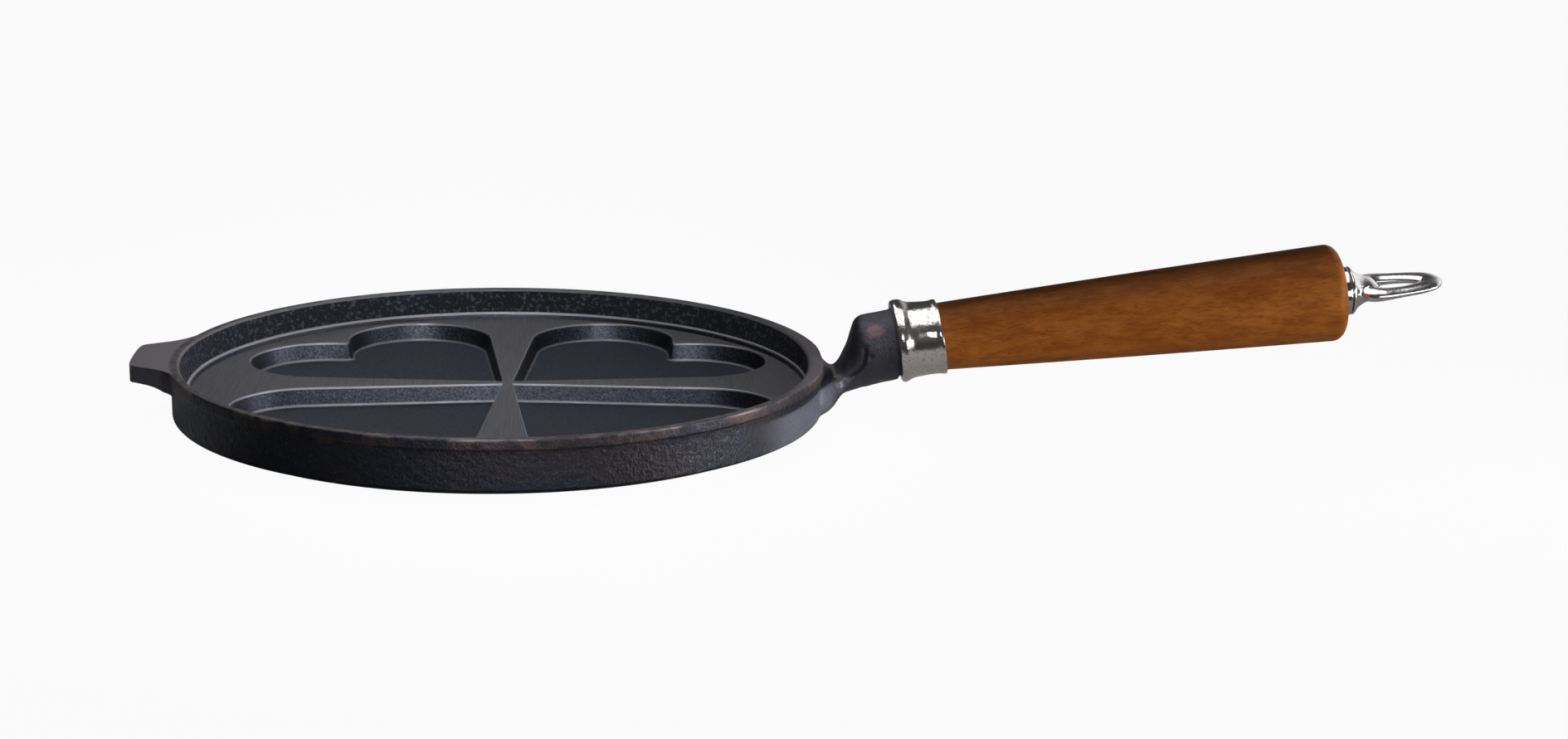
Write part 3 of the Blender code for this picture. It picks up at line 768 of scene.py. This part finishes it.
# Ferrule: a thick collar cast in pewter, beaded at the arm and plain at the wood, with
# the slightly uneven look of a hand-finished casting. Both ends lean a little. It sits
# between the arm and the wood, and the rod passes through the web inside it.
turning_steps = 144
ferrule_outline = [
    (13.0, 42.4), (13.35, 42.3), (13.5, 41.9), (13.5, 41.2), (13.35, 40.6), (13.22, 39.5),
    (13.2, 37.5), (13.3, 35.5), (13.45, 33.5), (13.6, 31.9), (13.85, 30.8), (14.25, 29.9),
    (14.7, 29.1), (14.95, 28.2), (14.9, 27.2), (14.65, 26.5), (14.2, 26.1), (13.6, 26.0),
    (12.85, 26.0), (12.8, 26.2), (12.8, 28.9), (5.0, 28.9), (5.0, 37.4), (12.4, 37.4),
    (12.4, 42.3), (12.5, 42.4),
]
outer_least = 13.1 * mm
unevenness = 0.05 * mm
unevenness_scale = 260
ferrule_lean = math.radians(3.6)
web_middle = 33.15 * mm
lean_full, lean_none = 7 * mm, 4.3 * mm


def to_handle(body):
    """Sets a body that was made about Z onto the handle's centre line."""
    bmesh.ops.transform(body, matrix=handle_line, verts=body.verts[:])
    return body


ferrule = turned([(r * mm, z * mm) for r, z in ferrule_outline], turning_steps, True)
for vert in ferrule.verts:
    if vert.co.xy.length > outer_least:
        push = noise.noise(vert.co * unevenness_scale) * unevenness
        vert.co.xy *= 1 + push / vert.co.xy.length
    near_end = fade(abs(vert.co.z - web_middle), lean_full, lean_none)
    vert.co.z += math.tan(ferrule_lean) * vert.co.x * near_end
ferrule_piece = to_object(to_handle(ferrule), "pewter_ferrule")
ferrule_piece.data.set_sharp_from_angle(angle=math.radians(50))


def fine_scuffs():
    """Node group: fine speckle and soft waves for cast and polished metal."""
    group = bpy.data.node_groups.new("fine_scuffs", "ShaderNodeTree")
    for name, kind in (("Vector", "NodeSocketVector"), ("Speckle Scale", "NodeSocketFloat"),
                       ("Wave Scale", "NodeSocketFloat")):
        group.interface.new_socket(name, in_out="INPUT", socket_type=kind)
    for name in ("Speckle", "Waves"):
        group.interface.new_socket(name, in_out="OUTPUT", socket_type="NodeSocketFloat")
    given = group.nodes.new("NodeGroupInput")
    told = group.nodes.new("NodeGroupOutput")
    for name, scale in (("Speckle", "Speckle Scale"), ("Waves", "Wave Scale")):
        made = mottle(group, given.outputs["Vector"], given.outputs[scale], 3.0)
        group.links.new(made, told.inputs[name])
    return group


scuffs = fine_scuffs()


def metal_finish(name, colour, worn, smooth, speckle_scale, wave_scale, depth):
    """Bare metal: its colour and worn colour, its roughness range, and the relief's depth."""
    material, tree, shader = new_finish(name)
    marks = place_node(tree, "Group", node_tree=scuffs)
    tree.links.new(place_node(tree, "TexCoord").outputs["Object"], marks.inputs["Vector"])
    marks.inputs["Speckle Scale"].default_value = speckle_scale
    marks.inputs["Wave Scale"].default_value = wave_scale
    speckle, waves = marks.outputs["Speckle"], marks.outputs["Waves"]
    dirt = between(tree, speckle, 0.50, 0.72)
    tree.links.new(blend_colour(tree, dirt, colour, worn), shader.inputs["Base Color"])
    tree.links.new(between(tree, speckle, 0.3, 0.7, *smooth), shader.inputs["Roughness"])
    height = total(tree, waves, product(tree, speckle, 0.12))
    bumps = place_node(tree, "Bump", {"Height": height, "Strength": 1.0, "Distance": depth})
    tree.links.new(bumps.outputs[0], shader.inputs["Normal"])
    shader.inputs["Metallic"].default_value = 1.0
    return material


pewter = metal_finish("pewter_cast", (0.70, 0.67, 0.65), (0.42, 0.40, 0.39), (0.10, 0.24),
                      1100, 620, 0.09 * mm)
ferrule_piece.data.materials.append(pewter)
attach(ferrule_piece, "root")
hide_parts("ferrule")


# Wooden handle: turned hardwood, bored for the rod, stained warm brown and oiled to a
# satin sheen. It swells slightly towards the end, where the corner is rounded.
wood_start, wood_lip, wood_end = 37.7 * mm, 42.4 * mm, 187.4 * mm
wood_thin, wood_fat = 12.1 * mm, 17.5 * mm
wood_bulge = 0.25 * mm
wood_corner = 4.2 * mm
wood_bore = 3.5 * mm
wood_countersink = 0.4 * mm
wood_stations = 40
wood_outline = arc((wood_fat - wood_corner, wood_end - wood_corner), wood_corner, 90, 0, 12)
for i in range(1, wood_stations):
    share = 1 - i / wood_stations
    radius = wood_thin + (wood_fat - wood_thin) * share + wood_bulge * math.sin(math.pi * share)
    wood_outline.append((radius, wood_lip + (wood_end - wood_corner - wood_lip) * share))
wood_outline += [(wood_thin, wood_lip), (wood_thin, wood_start), (wood_bore, wood_start)]
wood_outline += [(wood_bore, wood_end - wood_countersink), (wood_bore + wood_countersink, wood_end)]
wood_piece = to_object(to_handle(turned(wood_outline, turning_steps, True)), "turned_handle")
wood_piece.data.set_sharp_from_angle(angle=math.radians(40))

wood, tree, shader = new_finish("oiled_hardwood")
coords = place_node(tree, "TexCoord").outputs["Object"]
lengthwise = place_node(tree, "Mapping", {
    "Vector": coords, "Location": (rim_radius, 0, handle_height),
    "Rotation": (0, -handle_tilt, 0)}, vector_type="TEXTURE").outputs[0]


def stretched(tree, coords, along, across):
    """Coordinates in which a pattern comes out long in X and fine across it."""
    return place_node(tree, "Mapping", {"Vector": coords,
                                        "Scale": (along, across, across)}).outputs[0]


figure = mottle(tree, stretched(tree, lengthwise, 60, 210), 1.0, 4.0, 0.6)
streaks = mottle(tree, stretched(tree, lengthwise, 240, 1000), 1.0, 3.0, 0.6)
pores = between(tree, mottle(tree, stretched(tree, lengthwise, 500, 2400), 1.0, 2.0, 0.5),
                0.60, 0.72)
tone = total(tree, product(tree, figure, 0.6), product(tree, streaks, 0.4))
grain = blend_colour(tree, between(tree, tone, 0.36, 0.64), (0.140, 0.038, 0.006),
                     (0.215, 0.068, 0.012))
stained = blend_colour(tree, product(tree, pores, 0.7), grain, (0.060, 0.020, 0.007))
wood_height = less(tree, product(tree, streaks, 0.3), pores)
grain_bumps = place_node(tree, "Bump", {"Height": wood_height, "Strength": 0.5,
                                        "Distance": 0.05 * mm})
tree.links.new(stained, shader.inputs["Base Color"])
tree.links.new(between(tree, streaks, 0.3, 0.7, 0.44, 0.34), shader.inputs["Roughness"])
tree.links.new(grain_bumps.outputs[0], shader.inputs["Normal"])
shader.inputs["Specular IOR Level"].default_value = 0.045
wood_piece.data.materials.append(wood)
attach(wood_piece, "root")
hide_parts("wood_handle")


# Tie rod: plain drawn steel, hidden inside the handle. The CAD solid stays and only
# gets its finish.
steel = metal_finish("drawn_steel", (0.50, 0.50, 0.51), (0.36, 0.35, 0.35), (0.30, 0.45),
                     1200, 200, 0.03 * mm)
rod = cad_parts["tie_rod"]
rod.data.materials.clear()
rod.data.materials.append(steel)


# End washer: a thick turned steel washer between the wood and the loop, its corners
# broken and its edge polished.
washer_start, washer_end = 187.7 * mm, 190.6 * mm
washer_radius = 8.8 * mm
washer_edge = 0.45 * mm
washer_bore = 3.3 * mm
corner_radius = washer_radius - washer_edge
washer_outline = arc((corner_radius, washer_end - washer_edge), washer_edge, 90, 0, 4)
washer_outline += arc((corner_radius, washer_start + washer_edge), washer_edge, 0, -90, 4)
washer_outline += [(washer_bore, washer_start), (washer_bore, washer_end)]
washer_piece = to_object(to_handle(turned(washer_outline, turning_steps, True)), "steel_washer")
washer_piece.data.set_sharp_from_angle(angle=math.radians(40))
polished = metal_finish("polished_steel", (0.64, 0.63, 0.62), (0.50, 0.49, 0.48), (0.07, 0.16),
                        1600, 260, 0.05 * mm)
washer_piece.data.materials.append(polished)
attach(washer_piece, "root")
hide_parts("end_washer")


# Hanging loop: an eye nut, die cast and polished, turned onto the rod's end. A flange
# sweeps in to a short stem whose knob stands in the egg-shaped eye.
loop_start = 190.9 * mm
loop_turn = math.radians(12)
stem_steps = 96
stem_outline = [
    (0.0, 10.6), (1.2, 10.5), (2.3, 10.1), (3.1, 9.5), (3.8, 8.7), (4.3, 7.7), (4.65, 6.6),
    (4.9, 5.6), (5.3, 4.5), (5.9, 3.4), (6.7, 2.4), (7.6, 1.6), (8.3, 1.1), (8.62, 0.8),
    (8.7, 0.4), (8.6, 0.1), (8.35, 0.0), (3.3, 0.0), (3.3, 6.0), (0.0, 6.0),
]
# The eye. Each row: degrees round from its tip, then in millimetres how far across and
# along the bar's middle lies, and the bar's width and thickness.
eye_rows = (
    (0, 0.0, 30.5, 8.0, 3.4),
    (35, 2.7, 29.0, 7.6, 3.4),
    (65, 4.5, 25.2, 6.6, 3.4),
    (90, 5.6, 20.5, 5.9, 3.4),
    (115, 6.2, 15.5, 5.9, 3.7),
    (140, 6.3, 10.6, 6.6, 4.6),
    (160, 5.0, 7.4, 8.4, 5.6),
    (180, 0.0, 6.6, 10.4, 6.0),
)
eye_bar_steps = 24
eye_steps = 120
# The eye starts as a ring of radius 1 with a thin round bar, and is then drawn out.
ring_bar = 0.1


def eye_middle(degrees):
    """Across and along of the bar's middle at an angle round the eye, from -180 to 180."""
    across, along, width, thickness = follow(eye_rows, min(180, abs(degrees)))
    return Vector((math.copysign(across, degrees), along))


stem = turned([(r * mm, z * mm) for r, z in stem_outline], stem_steps, False)
eye = bmesh.new()
bmesh.ops.create_circle(eye, segments=eye_bar_steps, radius=ring_bar)
bmesh.ops.translate(eye, verts=eye.verts[:], vec=(0, 1, 0))
bmesh.ops.spin(eye, geom=eye.verts[:] + eye.edges[:], axis=(1, 0, 0), cent=(0, 0, 0),
               steps=eye_steps, angle=math.tau, use_merge=True)
bmesh.ops.remove_doubles(eye, verts=eye.verts[:], dist=weld)
for vert in eye.verts:
    degrees = math.degrees(math.atan2(vert.co.y, vert.co.z))
    across, along, width, thickness = follow(eye_rows, abs(degrees))
    ahead = (eye_middle(degrees + 2) - eye_middle(degrees - 2)).normalized()
    out = (math.hypot(vert.co.y, vert.co.z) - 1) / ring_bar * width / 2
    side = vert.co.x / ring_bar * thickness / 2
    middle = eye_middle(degrees)
    vert.co = Vector((side, middle.x - ahead.y * out, middle.y + ahead.x * out)) * mm
bmesh.ops.recalc_face_normals(eye, faces=eye.faces[:])
bmesh.ops.rotate(eye, verts=eye.verts[:], cent=(0, 0, 0),
                 matrix=Matrix.Rotation(loop_turn, 3, "Z"))
eye_nut = fused(stem, [eye], "loop")
join_rounds = 6
join_foot, join_top, join_shrink = 3, 11, 0.5
join_least = 2.2 * mm
for i in range(join_rounds):
    relax(eye_nut, [v for v in eye_nut.verts
                    if join_foot * mm < v.co.z < (join_top - join_shrink * i) * mm
                    and v.co.xy.length > join_least])
bmesh.ops.translate(eye_nut, verts=eye_nut.verts[:], vec=(0, 0, loop_start))
loop_piece = to_object(to_handle(eye_nut), "eye_nut")
loop_piece.data.set_sharp_from_angle(angle=math.radians(55))
zinc = metal_finish("polished_zinc", (0.82, 0.80, 0.80), (0.64, 0.62, 0.62), (0.10, 0.26),
                    1300, 240, 0.10 * mm)
loop_piece.data.materials.append(zinc)
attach(loop_piece, "root")
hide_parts("hanging_loop")
